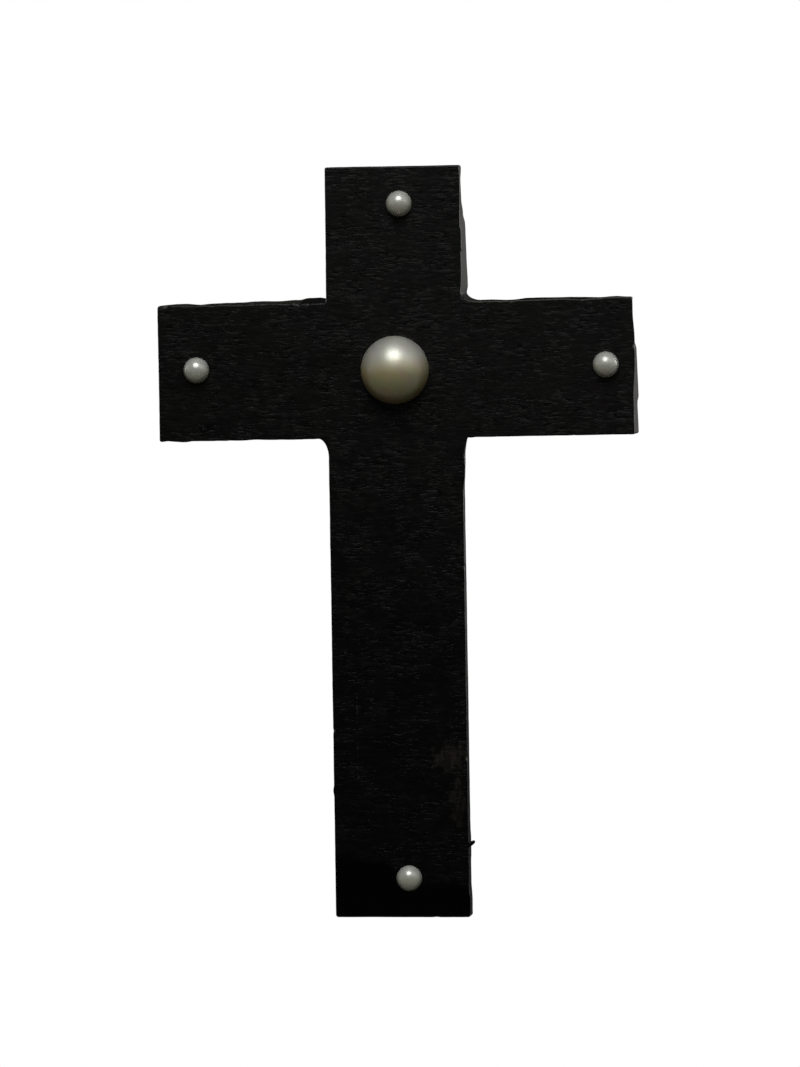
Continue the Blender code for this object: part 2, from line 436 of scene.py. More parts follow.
def faceRelief(x, z):
    # ridges and pores are noise drawn out along the arms, on lines that wander a little; a slow swell lies
    # under them, and upright scuffs cross the worn patch
    line = z + noise("lineWander", x, z)
    pores = board["poreDepth"] * rise(noise("pores", x, line), *board["poreFrom"])
    strokes = (noise("ridges", x, line) - pores) * (1 - board["footSmooth"] * footShare(x, z))
    return strokes + noise("scuffs", x, z) * wornShare(x, z) + noise("swell", x, z)


def crossCells(stepsAcross, stepsUp):
    # which cells of the lattice lie in the cross
    columns, rows = sum(stepsAcross), sum(stepsUp)
    i, j = np.meshgrid(np.arange(columns), np.arange(rows), indexing="ij")
    inShaft = (i >= stepsAcross[0]) & (i < stepsAcross[0] + stepsAcross[1])
    inBar = (j >= stepsUp[0]) & (j < stepsUp[0] + stepsUp[1])
    return inShaft | inBar


def usedPoints(kept):
    # the corners of the kept cells
    used = np.zeros((kept.shape[0] + 1, kept.shape[1] + 1), bool)
    for di in (0, 1):
        for dj in (0, 1):
            used[di:di + kept.shape[0], dj:dj + kept.shape[1]] |= kept
    return used


def cellFaces(kept, numbers):
    i, j = np.nonzero(kept)
    return np.stack([numbers[i, j], numbers[i + 1, j], numbers[i + 1, j + 1], numbers[i, j + 1]], axis=1)


def outlineLoop(stepsAcross, stepsUp):
    # the lattice places of the outline, counter-clockwise from the front
    column = np.concatenate([[0], np.cumsum(stepsAcross)])
    row = np.concatenate([[0], np.cumsum(stepsUp)])
    loop = []
    for edge in edges:
        a = np.array([column[edge["start"][0]], row[edge["start"][1]]])
        b = np.array([column[edge["end"][0]], row[edge["end"][1]]])
        count = abs(b - a).sum()
        loop.append(a + np.arange(count)[:, None] * edge["run"].astype(int))
    return np.concatenate(loop)


def sections():
    # (depth behind the face, inset) of each ring of the side: a quarter round, the sawn side, a quarter round
    a = board["arris"]
    quarter = np.linspace(0, math.pi / 2, board["arrisRows"] + 1)
    front = [(a * (1 - math.cos(t)), a * (1 - math.sin(t))) for t in quarter]
    side = [(y, 0.0) for y in np.linspace(a, thickness - a, board["sideRows"] + 1)[1:-1]]
    back = [(thickness - depth, inset) for depth, inset in reversed(front)]
    return front + side + back


def splinterShape():
    # rings about an arc that leaves the side and curls up; they are widest where it leaves the board, taper
    # along it and close quickly, as the root of 1 - 0.9 t to the 11th, at its blunt end
    across, up = knotsAt(0.0)
    z = up[1] + (up[0] - up[1]) * splinter["alongShaft"]
    t = np.linspace(0, 1, splinter["steps"] + 1)
    root, tip = splinter["behind"]
    x0, z0 = sawnPlace(np.array([across[2]]), np.array([z]), 0.0, splinter["anchor"])
    turn = splinter["hook"] * t
    bend = splinter["length"] / splinter["hook"]
    path = np.stack([x0 - splinter["sunk"] + bend * np.sin(turn),
                     boardLow[1] + root + (tip - root) * t,
                     z0 + bend * (1 - np.cos(turn))], axis=1)
    around = 2 * math.pi * np.arange(splinter["sides"]) / splinter["sides"]
    flare = 1 + splinter["flare"] * np.exp(-(t / splinter["flareReach"]) ** 2)
    thick = splinter["thick"] * flare * (1 - splinter["taper"] * t) * np.sqrt(1 - 0.9 * t ** 11)
    upright = np.stack([-np.sin(turn), 0 * t, np.cos(turn)], axis=1)
    forward = np.array([0, -splinter["flat"], 0])
    return path[:, None] + thick[:, None, None] * (upright[:, None] * np.cos(around)[:, None]
                                                   + forward * np.sin(around)[:, None])


def boardPoints():
    # front sheet, rings of the side, back sheet with half as many lines, the nail hole and the splinter
    points, faces = [], []
    marks = {key: [] for key in ("rub", "side", "gum", "back", "bare", "worn", "foot")}

    def put(x, y, z, **given):
        x, y, z = np.broadcast_arrays(x, y, z)
        numbers = np.arange(x.size).reshape(x.shape) + sum(len(part) for part in points)
        points.append(np.stack([x, y, z], axis=-1).reshape(-1, 3))
        for key, values in marks.items():
            values.append(np.broadcast_to(given.get(key, 0.0), x.shape).ravel())
        return numbers

    arris = board["arris"]
    steps = board["stepsAcross"], board["stepsUp"]
    kept = crossCells(*steps)
    used = usedPoints(kept)
    xLine, zLine = latticeAt(arris)
    i, j = np.nonzero(used)
    x, z = sawnPlace(xLine[i], zLine[j], arris, 0.0)
    lattice = np.full(used.shape, -1)
    lattice[i, j] = put(x, boardLow[1] - faceRelief(x, z), z, worn=wornShare(x, z), foot=footShare(x, z))
    faces.append(cellFaces(kept, lattice))

    loop = outlineLoop(*steps)
    ring = lattice[loop[:, 0], loop[:, 1]]
    for depth, inset in sections()[1:-1]:
        xLine, zLine = latticeAt(inset)
        x0, z0 = xLine[loop[:, 0]], zLine[loop[:, 1]]
        sawn = float(rise(min(depth, thickness - depth), *board["sawFrom"]))
        x, z = sawnPlace(x0, z0, inset, depth, sawn)
        relief = faceRelief(x, z) * (inset / arris) if depth < arris else 0.0
        middle = 1.0 - abs(2.0 * inset / arris - 1.0) if depth < arris else 0.0
        middle = min(1.0, 1.6 * middle)  # 1 over most of the arris and 0 at its two ends
        onSide = 1.0 - inset / arris
        # the rub mark also carries the dust and painted light of the left arm's top side
        rub = np.maximum(rubShare(x0, z0, inset) * middle, dustAndLightShare(x0, z0, inset) * onSide)
        after = put(x, boardLow[1] + depth - relief, z, rub=rub, side=onSide, gum=gumShare(x, z),
                    worn=wornShare(x, z) * math.exp(-depth / wornDepth), foot=footShare(x, z))
        faces.append(ringFaces(ring, after))
        ring = after

    half = tuple(n // 2 for n in steps[0]), tuple(n // 2 for n in steps[1])
    kept = crossCells(*half)
    xLine, zLine = (line[::2] for line in latticeAt(arris))
    holeZ = boardHigh[2] - nailHole["below"]
    left, right = (np.abs(xLine - side * nailHole["square"]).argmin() for side in (-1, 1))
    low, high = (np.abs(zLine - holeZ - side * nailHole["square"]).argmin() for side in (-1, 1))
    kept[left:right, low:high] = False
    used = usedPoints(kept)
    i, j = np.nonzero(used)
    x, z = sawnPlace(xLine[i], zLine[j], arris, thickness)
    lattice = np.full(used.shape, -1)
    lattice[i, j] = put(x, boardHigh[1] + backRelief(x, z, holeZ), z, back=1.0)
    faces.append(cellFaces(kept, lattice)[:, ::-1])

    coarse = outlineLoop(*half)
    coarse = lattice[coarse[:, 0], coarse[:, 1]]
    fiveSided = [ring[0::2], coarse, np.roll(coarse, -1), np.roll(ring, -2)[0::2], ring[1::2]]
    faces.append(np.stack(fiveSided, axis=1))

    square = np.concatenate([
        np.stack([np.arange(left, right), np.full(right - left, low)], axis=1),
        np.stack([np.full(high - low, right), np.arange(low, high)], axis=1),
        np.stack([np.arange(right, left, -1), np.full(right - left, high)], axis=1),
        np.stack([np.full(high - low, left), np.arange(high, low, -1)], axis=1)])
    outer = lattice[square[:, 0], square[:, 1]]
    faces += drillHole(put, outer, np.concatenate(points)[outer][:, [0, 2]], holeZ)

    sliver = splinterShape()
    rows = put(sliver[..., 0], sliver[..., 1], sliver[..., 2], side=1.0)
    faces += [ringFaces(ring, after) for ring, after in zip(rows, rows[1:])]
    faces += [rows[0][None], rows[-1][::-1][None]]
    return np.concatenate(points), faces, {key: np.concatenate(values) for key, values in marks.items()}


def backRelief(x, z, holeZ):
    # fine grain and a slow swell, flat round the nail hole
    return noise("backGrain", x, z) * rise(np.hypot(x, z - holeZ), *nailHole["flat"])


def drillHole(put, outer, rim, holeZ):
    # rings that turn the square opening round, each its share of the way from the square rim to the circle of
    # the hole's mouth, then the chamfer, the wall and a shallow drill point
    faces = []
    rim = np.stack([rim, (rim + np.roll(rim, -1, axis=0)) / 2], axis=1).reshape(-1, 2)
    centre = np.array([0.0, holeZ])
    spoke = (rim - centre) / np.hypot(*(rim - centre).T)[:, None]
    mouth = nailHole["radius"] + nailHole["chamfer"]
    ring = None
    for share in np.linspace(nailHole["firstRing"], 1.0, nailHole["rings"]):
        place = rim * (1 - share) + (centre + spoke * mouth) * share
        after = put(place[:, 0], boardHigh[1], place[:, 1], back=1.0)
        if ring is None:
            fiveSided = [outer, after[0::2], after[1::2], np.roll(after, -2)[0::2], np.roll(outer, -1)]
            faces.append(np.stack(fiveSided, axis=1))
        else:
            faces.append(ringFaces(ring, after))
        ring = after
    bearing = np.arctan2(spoke[:, 1], spoke[:, 0])
    for depth in np.linspace(nailHole["chamfer"], nailHole["depth"], nailHole["rows"]):
        radius = nailHole["radius"] + noise("drillMarks", bearing, depth)
        place = centre + spoke * radius[:, None]
        after = put(place[:, 0], boardHigh[1] - depth, place[:, 1], back=1.0, bare=1.0)
        faces.append(ringFaces(ring, after))
        ring = after
    for share in nailHole["pointRings"]:
        place = centre + spoke * nailHole["radius"] * share
        floor = boardHigh[1] - nailHole["depth"] - nailHole["point"] * (1 - share)
        after = put(place[:, 0], floor, place[:, 1], back=1.0, bare=1.0)
        faces.append(ringFaces(ring, after))
        ring = after
    tip = put(np.zeros(1), boardHigh[1] - nailHole["depth"] - nailHole["point"], holeZ, back=1.0, bare=1.0)
    faces.append(np.stack([ring, np.full(len(ring), tip[0]), np.roll(ring, -1)], axis=1))
    return faces


def chipAway(points):
    # each chip pushes the points near it into the board, most at its middle: depth times exp(-(r / width)²)
    chipped = np.zeros(len(points))
    across, up = knotsAt(0.0)
    for name, along, width, depth in chips:
        edge = edges[list(corners).index(name)]
        start = np.array([across[edge["start"][0]], up[edge["start"][1]]]) + along * edge["run"]
        x, z = sawnPlace(start[:1], start[1:], 0.0, 0.0)
        away = points - (x[0], boardLow[1], z[0])
        grain = 1 + noise("chipGrain", points[:, 0] + points[:, 2], points[:, 1])
        share = np.exp(-(away ** 2).sum(axis=1) / width ** 2) * grain
        points = points - share[:, None] * depth * np.array([edge["out"][0], -chipSlope, edge["out"][1]])
        chipped = np.maximum(chipped, share)
    return points, chipped


def buildBoard():
    points, faces, marks = boardPoints()
    points, marks["chip"] = chipAway(points)
    piece = makePiece("paintedBoard", points, faces, marks)
    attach(piece, "root")
    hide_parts("cross_board")
    return piece


# The pearls

smallPearl = {"around": 88, "levels": 28, "uneven": 0.010}  # points around and up it; how uneven it is, in mm
pearls = {
    "centrePearl": {"node": "centre_pearl", "around": 144, "levels": 44, "uneven": 0.020, "seed": 81},
    "headPearl": {"node": "head_pearl", **smallPearl, "seed": 82},
    "leftPearl": {"node": "left_pearl", **smallPearl, "seed": 83},
    "rightPearl": {"node": "right_pearl", **smallPearl, "seed": 84},
    "footPearl": {"node": "foot_pearl", **smallPearl, "seed": 85},
}
pearlFoot = {
    "sink": 0.12,                       # mm into the paint
    "tuck": 0.022, "tuckHeight": 0.06,  # shares of the radius
    "stepHeights": (0.0, 0.30, 0.65),   # shares of the tuck's height
    "stepTucks": (1.0, 0.55, 0.20),     # and of the tuck there
}
bumpSize = 0.4  # cells of the unevenness, as a share of the radius


def buildPearl(name, pearl):
    # a quarter ellipse turned about the line out of the face; its foot tucks in where the mould parted
    low, high = (np.array(corner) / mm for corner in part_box(pearl["node"]))
    radius = (high[0] - low[0]) / 2
    x0, z0 = (low[0] + high[0]) / 2, (low[2] + high[2]) / 2
    height = boardLow[1] - low[1]
    waist = pearlFoot["tuckHeight"] * radius
    angle = np.linspace(0, math.pi / 2, pearl["levels"] + 1)[:-1]
    tucked = 1 - pearlFoot["tuck"] * np.array([1.0, *pearlFoot["stepTucks"]])
    out = radius * np.concatenate([tucked, np.cos(angle)])
    foot = np.array([-pearlFoot["sink"], *(waist * share for share in pearlFoot["stepHeights"])])
    up = np.concatenate([foot, waist + (height - waist) * np.sin(angle)])
    turn = 2 * math.pi * np.arange(pearl["around"]) / pearl["around"]
    across = np.cos(turn) + 2  # past 0, so that the noise stays on one side of its table
    bump = pearl["uneven"] * smoothNoise(across, up[:, None] / radius, bumpSize, bumpSize, pearl["seed"])
    reach = out[:, None] + bump * (up[:, None] > 0)
    x = x0 + reach * np.cos(turn)
    z = z0 + reach * np.sin(turn)
    y = boardLow[1] - up[:, None] + 0 * turn
    rings = np.stack([x, y, z], axis=-1)
    numbers = np.arange(x.size).reshape(x.shape)
    ends = [[x0, boardLow[1] - height, z0], [x0, boardLow[1] + pearlFoot["sink"], z0]]
    points = np.concatenate([rings.reshape(-1, 3), ends])
    crown, base = x.size, x.size + 1
    faces = [ringFaces(above, below) for below, above in zip(numbers, numbers[1:])]
    last, first = numbers[-1], numbers[0]
    faces.append(np.stack([last, np.roll(last, -1), np.full(len(last), crown)], axis=1))
    faces.append(np.stack([np.roll(first, -1), first, np.full(len(first), base)], axis=1))
    lift = (points[:, 2] - z0) / radius  # -1 at the pearl's lower rim, 1 at its upper rim
    piece = makePiece(name, points, faces, {"rise": lift})
    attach(piece, "root")
    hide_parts(pearl["node"])
    return piece


# Node helpers

def node(tree, kind, inputs=None, **settings):
    made = tree.nodes.new(kind)
    for key, value in settings.items():
        setattr(made, key, value)
    for key, value in (inputs or {}).items():
        if isinstance(value, bpy.types.NodeSocket):
            tree.links.new(value, made.inputs[key])
        else:
            made.inputs[key].default_value = value
    return made


def calc(tree, operation, a, b=0.0, c=0.0, clamp=False):
    return node(tree, "ShaderNodeMath", {0: a, 1: b, 2: c}, operation=operation, use_clamp=clamp).outputs[0]


def times(tree, product, *others):
    for other in others:
        product = calc(tree, "MULTIPLY", product, other)
    return product


def allBut(tree, part, mark):  # 1 minus this part of the mark
    return calc(tree, "MULTIPLY_ADD", mark, -part, 1.0)


def blendColour(tree, share, a, b, blend="MIX"):
    inputs = {"Factor": share, 6: a, 7: b}
    return node(tree, "ShaderNodeMix", inputs, data_type="RGBA", blend_type=blend).outputs[2]


def ramp(tree, value, low, high, toLow=0.0, toHigh=1.0):
    inputs = {"Value": value, "From Min": low, "From Max": high, "To Min": toLow, "To Max": toHigh}
    return node(tree, "ShaderNodeMapRange", inputs, interpolation_type="SMOOTHSTEP").outputs["Result"]


def noiseNode(tree, place, scale, detail=1.0, distortion=0.0):
    inputs = {"Vector": place, "Scale": scale, "Detail": detail, "Distortion": distortion}
    return node(tree, "ShaderNodeTexNoise", inputs).outputs


def attribute(tree, name):
    return node(tree, "ShaderNodeAttribute", None, attribute_name=name).outputs["Fac"]


def newMaterial(name):
    material = bpy.data.materials.new(name)
    material.use_nodes = True
    tree = material.node_tree
    return material, tree, tree.nodes.new("ShaderNodeTexCoord").outputs["Object"]


def finishMaterial(tree, colour, rough, height, distance, constants):
    # links what varies over the surface and sets the rest on the shader's own sockets
    shader = tree.nodes["Principled BSDF"]
    bump = node(tree, "ShaderNodeBump", {"Height": height, "Distance": distance, "Strength": 1.0})
    for key, value in (("Base Color", colour), ("Roughness", rough), ("Normal", bump.outputs["Normal"])):
        tree.links.new(value, shader.inputs[key])
    for key, value in constants.items():
        shader.inputs[key].default_value = value


# Effects that the finishes share

def newGroup(name, inputs, outputs):
    # a group that takes a place and these inputs, with the values they have when nothing is given
    group = bpy.data.node_groups.new(name, "ShaderNodeTree")
    group.interface.new_socket("Vector", in_out="INPUT", socket_type="NodeSocketVector")
    for key, value in inputs.items():
        group.interface.new_socket(key, in_out="INPUT", socket_type="NodeSocketFloat").default_value = value
    for key in outputs:
        group.interface.new_socket(key, in_out="OUTPUT", socket_type="NodeSocketFloat")
    return group, group.nodes.new("NodeGroupInput").outputs, group.nodes.new("NodeGroupOutput").inputs


def makeStreaks():
    # noise drawn out along x: its cells are Length by Depth by Thickness, on lines bent by a slower noise
    usual = {"Length": 0.006, "Depth": 0.001, "Thickness": 0.0004, "Wander": 0.0006, "Shift": 0.0}
    group, given, result = newGroup("drawnStreaks", usual, ["Value"])
    slow = noiseNode(group, given["Vector"], 70.0)["Fac"]
    bend = times(group, calc(group, "SUBTRACT", slow, 0.5), given["Wander"])
    parts = node(group, "ShaderNodeSeparateXYZ", {0: given["Vector"]}).outputs
    x = calc(group, "ADD", calc(group, "DIVIDE", parts["X"], given["Length"]), given["Shift"])
    y = calc(group, "DIVIDE", parts["Y"], given["Depth"])
    z = calc(group, "DIVIDE", calc(group, "ADD", parts["Z"], bend), given["Thickness"])
    joined = node(group, "ShaderNodeCombineXYZ", {"X": x, "Y": y, "Z": z}).outputs[0]
    group.links.new(noiseNode(group, joined, 1.0)["Fac"], result["Value"])
    return group


def makeWear():
    # a mark on the mesh, broken up by noise of this size: the mark plus the noise, from Low to High
    usual = {"Mark": 0.0, "Size": 0.0015, "Low": 0.4, "High": 0.8}
    group, given, result = newGroup("brokenWear", usual, ["Mask"])
    rough = noiseNode(group, given["Vector"], calc(group, "DIVIDE", 1.0, given["Size"]), 3.0)["Fac"]
    broken = calc(group, "ADD", given["Mark"], calc(group, "SUBTRACT", rough, 0.5))
    marked = calc(group, "GREATER_THAN", given["Mark"], 0.02)
    group.links.new(times(group, ramp(group, broken, given["Low"], given["High"]), marked), result["Mask"])
    return group


def makeFlecks():
    # a small round fleck in some cells of a Voronoi pattern; Share is the part of the cells that have one
    usual = {"Spacing": 0.003, "Radius": 0.09, "Share": 0.3}
    group, given, result = newGroup("flecks", usual, ["Mask"])
    scale = calc(group, "DIVIDE", 1.0, given["Spacing"])
    cells = node(group, "ShaderNodeTexVoronoi", {"Vector": given["Vector"], "Scale": scale}).outputs
    pick = node(group, "ShaderNodeSeparateColor", {0: cells["Color"]}).outputs
    radius = times(group, given["Radius"], calc(group, "MULTIPLY_ADD", pick[1], 0.7, 0.3))  # 0.3 to 1 Radius
    inside = calc(group, "DIVIDE", calc(group, "SUBTRACT", radius, cells["Distance"]), given["Radius"])
    small = calc(group, "MULTIPLY", inside, 3.0, clamp=True)  # its rim is a third of Radius wide
    group.links.new(times(group, small, calc(group, "LESS_THAN", pick[0], given["Share"])), result["Mask"])
    return group


def makeClouds():
    # soft cloudy noise for colour, and a fine dimple noise for the height of the lacquer
    usual = {"Cloud": 0.004, "Dimple": 0.0005}
    group, given, result = newGroup("lacquerClouds", usual, ["Clouds", "Dimples"])
    cloudScale, dimpleScale = (calc(group, "DIVIDE", 1.0, given[key]) for key in ("Cloud", "Dimple"))
    cloud = noiseNode(group, given["Vector"], cloudScale, 3.0, 0.6)["Fac"]
    group.links.new(ramp(group, cloud, 0.3, 0.7), result["Clouds"])
    group.links.new(noiseNode(group, given["Vector"], dimpleScale)["Fac"], result["Dimples"])
    return group


effects = {"streaks": makeStreaks(), "wear": makeWear(), "flecks": makeFlecks(), "clouds": makeClouds()}


def effect(tree, name, place, inputs, **more):
    return node(tree, "ShaderNodeGroup", {"Vector": place, **inputs, **more}, node_tree=effects[name]).outputs


# The paint

paint = {
    # colours
    "low": (0.0017, 0.0017, 0.0017, 1.0),     # the paint low on the shaft above the foot, darker there as painted shade
    "high": (0.0082, 0.0083, 0.0081, 1.0),    # the same paint at the head, under a little dust and lighter there as painted light from the lamp above
    "warm": (0.0100, 0.0078, 0.0074, 1.0),    # where the brown board warms it
    "olive": (0.0086, 0.0091, 0.0055, 1.0),   # and a greener cast, most of it near the arms' ends
    "ridgeGlint": (0.0265, 0.0267, 0.0258, 1.0),   # painted glints: short dashes where the brush left a ridge
    "poreShade": (0.0006, 0.0006, 0.0006, 1.0),     # painted shade in the open pores beside them
    # painted glints on the paint's grain, also the colour of the dotted scratches
    "glintAndScratch": (0.0600, 0.0600, 0.0570, 1.0),
    "foot": (0.0004, 0.0004, 0.0004, 1.0),
    "rubbed": (0.0215, 0.0170, 0.0122, 1.0),  # brown board showing through thin paint
    "arris": (0.0750, 0.0740, 0.0640, 1.0),   # the grey of a worn arris, also the dust and painted light on the left arm's top side
    "thin": (0.0200, 0.0150, 0.0110, 1.0),    # the single coat on the back
    "bare": (0.2300, 0.1350, 0.0700, 1.0),    # wood in the nail hole

    # sizes of the shared effects, in metres
    "dash": {"Length": 0.0023, "Depth": 0.0010, "Thickness": 0.00058, "Wander": 0.0012},
    "pore": {"Length": 0.0019, "Depth": 0.0010, "Thickness": 0.00052, "Wander": 0.0012, "Shift": 31.0},
    "mottle": {"Length": 0.0045, "Depth": 0.0020, "Thickness": 0.0024, "Wander": 0.0030, "Shift": 57.0},
    "stroke": {"Length": 0.0030, "Thickness": 0.0006},            # upright, on the worn patch
    "thinWear": {"Size": 0.0090, "Low": 0.45, "High": 0.75},
    "rubbedWear": {"Size": 0.0040, "Low": 0.25, "High": 0.95},
    "arrisWear": {"Size": 0.0011, "Low": 0.30, "High": 0.75},
    "specks": {"Spacing": 0.0013, "Radius": 0.20, "Share": 0.13},
    "patchSize": 0.0060,
    "castScale": 90.0,                        # per metre

    # ramps: from and to, and the values there where they aren't 0 and 1
    "dustAndShadeFrom": (-0.118, 0.056),              # metres up the cross, over which the paint grows dustier and lighter as painted light from the lamp above
    "dustAndShadeRight": 0.45,                        # and how much that range leans to the right, where the painted light is brighter
    "oliveFrom": (0.020, 0.050, 0.2, 0.9),    # metres out along an arm
    "dashFrom": (0.53, 0.65),
    "poreFrom": (0.45, 0.38),
    "patchFrom": (0.38, 0.58, 0.40, 1.0),
    "warmFrom": (0.54, 0.70, 0.0, 0.7),
    "greenFrom": (0.56, 0.42),
    "strokeFrom": (0.36, 0.64, 0.35, 1.0),

    # how strongly each shows
    "footHides": 0.93, "sideHides": 0.65,     # share of the brush work
    "mottled": 1.6, "poreShading": 0.85, "glintSpecked": 0.60, "chipped": 0.75, "backThin": 0.5,
    "ridgeGlinting": (0.54, 0.12),                   # painted glints on the ridges, per unit of dust and painted light, and without any

    # two thin scratches: where each lies, half its width, where it starts and ends, and its dashes
    "upright": {"at": -0.01024, "half": 0.00012, "reach": (-0.0966, -0.0768), "dashes": (0.45, 0.58, 0, 0.4)},
    "level": {"at": 0.01145, "half": 0.00010, "reach": (-0.0470, -0.0348), "dashes": (0.38, 0.58, 0, 0.45)},
    "scratchRim": (1.6, 0.6),                 # half widths

    # the sheen and the relief
    "gloss": 0.19,                            # specular level of the shader
    "rough": (0.34, 0.42),                    # from the shaft up to the head
    "footRough": 0.22, "sideRough": 0.24, "gumRough": 0.95,
    "bareRougher": 0.25,
    "relief": 0.00003,                        # metres, from pore to ridge
    "strokeRelief": 0.8, "sideFlat": 0.8,     # shares of the relief
    "dustAndShadeRelief": (0.1, 0.9),                 # per unit of the dust and painted light ramp, and without any
}


def scratchLine(tree, across, along, look, dash):
    # 1 within half its width of the line and 0 a little outside it, between its two ends, times the dashes
    away = calc(tree, "ABSOLUTE", calc(tree, "SUBTRACT", across, look["at"]))
    line = ramp(tree, away, *(look["half"] * share for share in paint["scratchRim"]))
    started = calc(tree, "GREATER_THAN", along, look["reach"][0])
    unended = calc(tree, "LESS_THAN", along, look["reach"][1])
    return times(tree, line, times(tree, started, unended), ramp(tree, dash, *look["dashes"]))


def makePaint():
    material, tree, place = newMaterial("blackPaint")
    x, y, z = node(tree, "ShaderNodeSeparateXYZ", {0: place}).outputs
    foot, worn, side, onBack = (attribute(tree, name) for name in ("foot", "worn", "side", "back"))
    above = times(tree, allBut(tree, paint["footHides"], foot), allBut(tree, paint["sideHides"], side))
    cloud = noiseNode(tree, place, 1.0 / paint["patchSize"], 2.0)["Fac"]
    patches = times(tree, ramp(tree, cloud, *paint["patchFrom"]), above)
    kinds = ("dash", "pore", "mottle")
    dash, pore, mottle = (effect(tree, "streaks", place, paint[kind])[0] for kind in kinds)
    ridges = times(tree, ramp(tree, dash, *paint["dashFrom"]), patches)
    pores = times(tree, ramp(tree, pore, *paint["poreFrom"]), patches)

    # the paint: its tone rises up the cross and to the right, partly dust and partly painted light from the
    # lamp above, and is mottled, with a brown and an olive cast
    dustAndShade = ramp(tree, calc(tree, "MULTIPLY_ADD", x, paint["dustAndShadeRight"], z), *paint["dustAndShadeFrom"])
    tone = calc(tree, "MULTIPLY_ADD", calc(tree, "SUBTRACT", mottle, 0.5), paint["mottled"], dustAndShade)
    cast = noiseNode(tree, place, paint["castScale"])["Fac"]
    outward = ramp(tree, calc(tree, "ABSOLUTE", x), *paint["oliveFrom"])

    # the worn patch: brown in upright strokes, broken up
    turned = node(tree, "ShaderNodeCombineXYZ", {"X": z, "Y": y, "Z": x}).outputs[0]
    strokes = effect(tree, "streaks", turned, paint["stroke"])[0]
    rubbed = times(tree, effect(tree, "wear", place, paint["rubbedWear"], Mark=worn)[0],
                   ramp(tree, strokes, *paint["strokeFrom"]))

    # the thinner coat on the back, the worn arris and the chips
    thin = effect(tree, "wear", place, paint["thinWear"], Mark=times(tree, onBack, paint["backThin"]))[0]
    chipped = times(tree, attribute(tree, "chip"), paint["chipped"])
    mark = calc(tree, "MAXIMUM", attribute(tree, "rub"), chipped)
    arris = effect(tree, "wear", place, paint["arrisWear"], Mark=mark)[0]

    # light specks, painted glints over the paint and the worn patch, and the dotted scratches
    specks = effect(tree, "flecks", place, paint["specks"])[0]
    specks = times(tree, specks, calc(tree, "MULTIPLY_ADD", patches, paint["glintSpecked"], rubbed))
    scratches = calc(tree, "MAXIMUM", scratchLine(tree, x, z, paint["upright"], dash),
                     scratchLine(tree, z, x, paint["level"], dash))
    specks = calc(tree, "MAXIMUM", specks, times(tree, scratches, calc(tree, "SUBTRACT", 1.0, onBack)))

    colour = blendColour(tree, tone, paint["low"], paint["high"])
    for share, name in (
        (times(tree, ramp(tree, cast, *paint["warmFrom"]), dustAndShade), "warm"),
        (times(tree, ramp(tree, cast, *paint["greenFrom"]), outward, dustAndShade), "olive"),
        # painted glints on the brush ridges, brighter higher up the cross
        (times(tree, ridges, calc(tree, "MULTIPLY_ADD", dustAndShade, *paint["ridgeGlinting"])), "ridgeGlint"),
        # painted shade in the open pores
        (times(tree, pores, paint["poreShading"]), "poreShade"),
        (foot, "foot"),
        (thin, "thin"),
        (rubbed, "rubbed"),
        (arris, "arris"),
        (attribute(tree, "bare"), "bare"),
        # light specks: painted glints, and the dotted scratches
        (specks, "glintAndScratch"),
    ):
        colour = blendColour(tree, share, colour, paint[name])

    # the sheen: satin on the face, glossier on the foot and the sides, dull where it is gummed or worn
    rough = ramp(tree, dustAndShade, 0.0, 1.0, *paint["rough"])
    for share, name in ((foot, "footRough"), (side, "sideRough"), (attribute(tree, "gum"), "gumRough")):
        rough = calc(tree, "MULTIPLY_ADD", calc(tree, "SUBTRACT", paint[name], rough), share, rough)
    bared = calc(tree, "MAXIMUM", calc(tree, "MAXIMUM", arris, thin), rubbed)
    rough = calc(tree, "MULTIPLY_ADD", bared, paint["bareRougher"], rough)
    height = calc(tree, "SUBTRACT", calc(tree, "ADD", ridges, specks), pores)
    height = calc(tree, "ADD", height, times(tree, strokes, worn, paint["strokeRelief"]))
    height = times(tree, height, allBut(tree, paint["sideFlat"], side))
    height = times(tree, height, calc(tree, "MULTIPLY_ADD", dustAndShade, *paint["dustAndShadeRelief"]))
    finishMaterial(tree, colour, rough, height, paint["relief"], {"Specular IOR Level": paint["gloss"]})
    return material


# The pearl lacquer

nacre = {
    # shade is painted shade at each pearl's foot and white is painted light at its top
    "large": {
        "shade": (0.31, 0.245, 0.09, 1.0), "cream": (0.77, 0.70, 0.33, 1.0),
        "grey": (0.70, 0.67, 0.41, 1.0), "white": (0.84, 0.84, 0.75, 1.0),
        "shadeFrom": (-0.75, 0.20), "paintedLightFrom": (-0.15, 0.60), "rough": (0.45, 0.51),
        "shader": {"Metallic": 0.55, "Coat Weight": 1.0, "Coat Roughness": 0.31, "Coat IOR": 2.0},
        "sizes": {"Cloud": 0.006, "Dimple": 0.0006}, "hues": 0.24, "hueSize": 0.0034,
    },
    "small": {
        "shade": (0.46, 0.45, 0.33, 1.0), "cream": (0.76, 0.77, 0.63, 1.0),
        "grey": (0.71, 0.72, 0.61, 1.0), "white": (0.78, 0.80, 0.73, 1.0),
        "shadeFrom": (-0.90, 0.10), "paintedLightFrom": (-0.20, 0.60), "rough": (0.32, 0.40),
        "shader": {"Metallic": 0.32, "Coat Weight": 1.0, "Coat Roughness": 0.16, "Coat IOR": 1.65},
        "sizes": {"Cloud": 0.004, "Dimple": 0.0006}, "hues": 0.12, "hueSize": 0.0026,
    },
}
dimpleDepth = 0.000003  # metres


